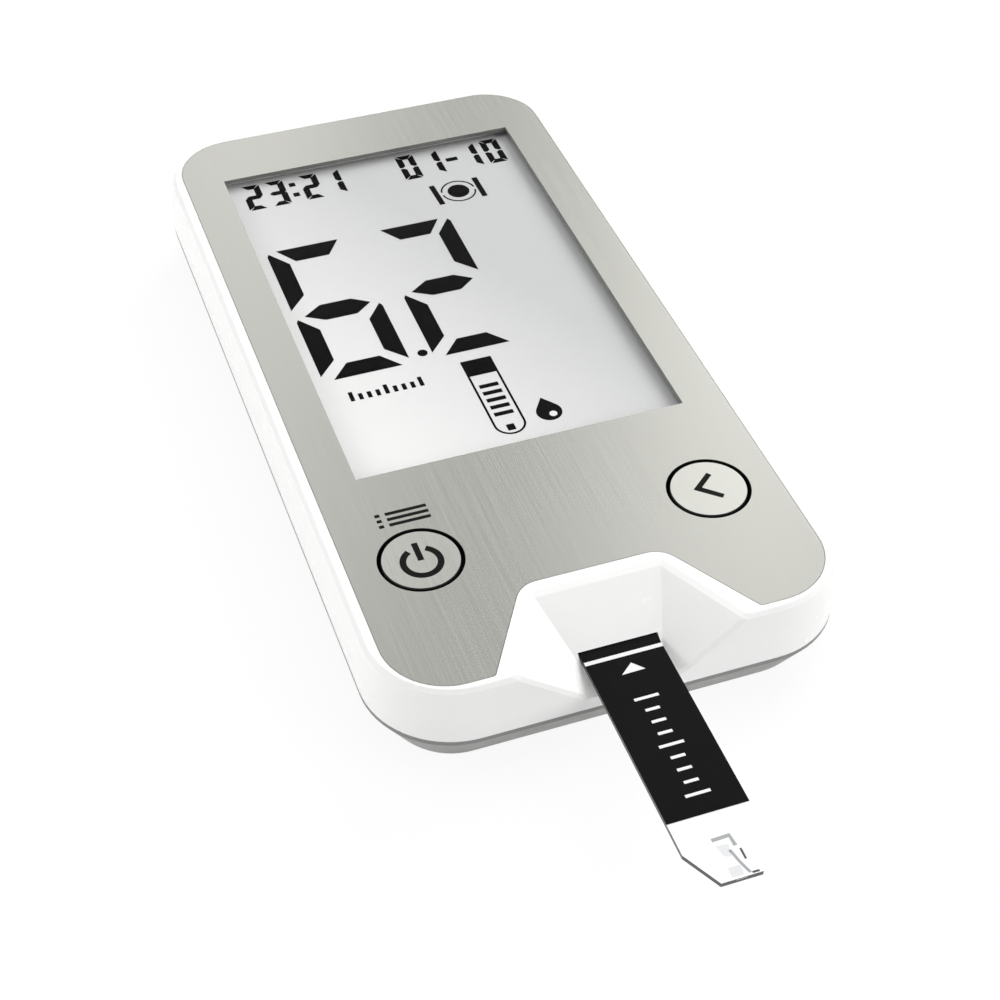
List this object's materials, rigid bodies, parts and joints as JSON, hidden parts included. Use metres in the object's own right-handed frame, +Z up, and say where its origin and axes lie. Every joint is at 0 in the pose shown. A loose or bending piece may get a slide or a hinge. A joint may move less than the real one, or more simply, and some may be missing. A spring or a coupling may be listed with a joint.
{
  "type": "blood glucose meter",
  "caption": "Handheld blood glucose meter: display in a brushed face plate, round push buttons, test strip in a scooped port, coin cells behind a sliding door.",
  "frame": {"origin": "centre of the body's flat bottom face, which it rests on", "axes": "+X across the face to the right, +Y along the body away from the strip port, +Z up out of the display"},
  "size_m": [0.0476, 0.1179, 0.012],
  "materials": {
    "shell_white": "gloss white moulded plastic",
    "shell_grey": "satin light grey moulded plastic",
    "plate_metal": "fine brushed",
    "button_silver": "silver film with black printed symbols",
    "clear_window": "clear, polished",
    "display_glass": "pale grey display with black segments",
    "reflector_white": "matt white sheet",
    "frame_plastic": "matt white moulded plastic",
    "connector_rubber": "matt layered elastomer",
    "board_green": "green solder mask",
    "chip_black": "matt black moulding",
    "bare_metal": "plain sheet metal",
    "ceramic_tan": "matt ceramic",
    "contact_gold": "gilt spring metal",
    "cell_metal": "satin can",
    "strip_white": "white film",
    "strip_black": "black printed film",
    "strip_clear": "clear film over white",
    "screw_steel": "zinc plated"
  },
  "bodies": {
    "meter_body": {"upper_housing": "shell_white", "lower_housing": "shell_grey", "face_plate": "plate_metal", "display_window": "clear_window", "lcd_front_glass": "display_glass", "lcd_rear_glass": "display_glass", "lcd_reflector": "reflector_white", "lcd_frame": "frame_plastic", "lcd_connector": "connector_rubber", "circuit_board": "board_green", "main_chip": "chip_black", "memory_chip": "chip_black", "clock_crystal": "bare_metal", "chip_capacitors": "ceramic_tan", "buzzer": "chip_black", "strip_connector": "frame_plastic", "strip_contacts": "contact_gold", "battery_front": "cell_metal", "battery_rear": "cell_metal", "negative_contact": "contact_gold", "positive_contact": "contact_gold", "housing_screws": "screw_steel", "power_switch_base": "chip_black", "power_switch_lid": "bare_metal", "power_snap_dome": "bare_metal", "select_switch_base": "chip_black", "select_switch_lid": "bare_metal", "select_snap_dome": "bare_metal"},
    "power_key": {"power_button": "button_silver", "power_plunger": "chip_black"},
    "select_key": {"select_button": "button_silver", "select_plunger": "chip_black"},
    "strip": {"strip_base": "strip_white", "strip_spacer": "strip_white", "strip_cover": "strip_black", "strip_tip_film": "strip_clear"},
    "door": {"battery_door": "shell_grey", "door_link_plate": "bare_metal"}
  },
  "joints": [
    {"name": "power_press", "type": "slide", "parent": "meter_body", "child": "power_key", "axis": [0, 0, -1], "range_m": [0, 0.0003], "stiffness_N_per_m": 4000, "deforming": ["power_snap_dome"]},
    {"name": "select_press", "type": "slide", "parent": "meter_body", "child": "select_key", "axis": [0, 0, -1], "range_m": [0, 0.0003], "stiffness_N_per_m": 4000, "deforming": ["select_snap_dome"]},
    {"name": "strip_pull", "type": "slide", "parent": "meter_body", "child": "strip", "axis": [0, -1, 0], "range_m": [0, 0.014]},
    {"name": "door_slide", "type": "slide", "parent": "meter_body", "child": "door", "axis": [0, 1, 0], "range_m": [0, 0.045]}
  ]
}
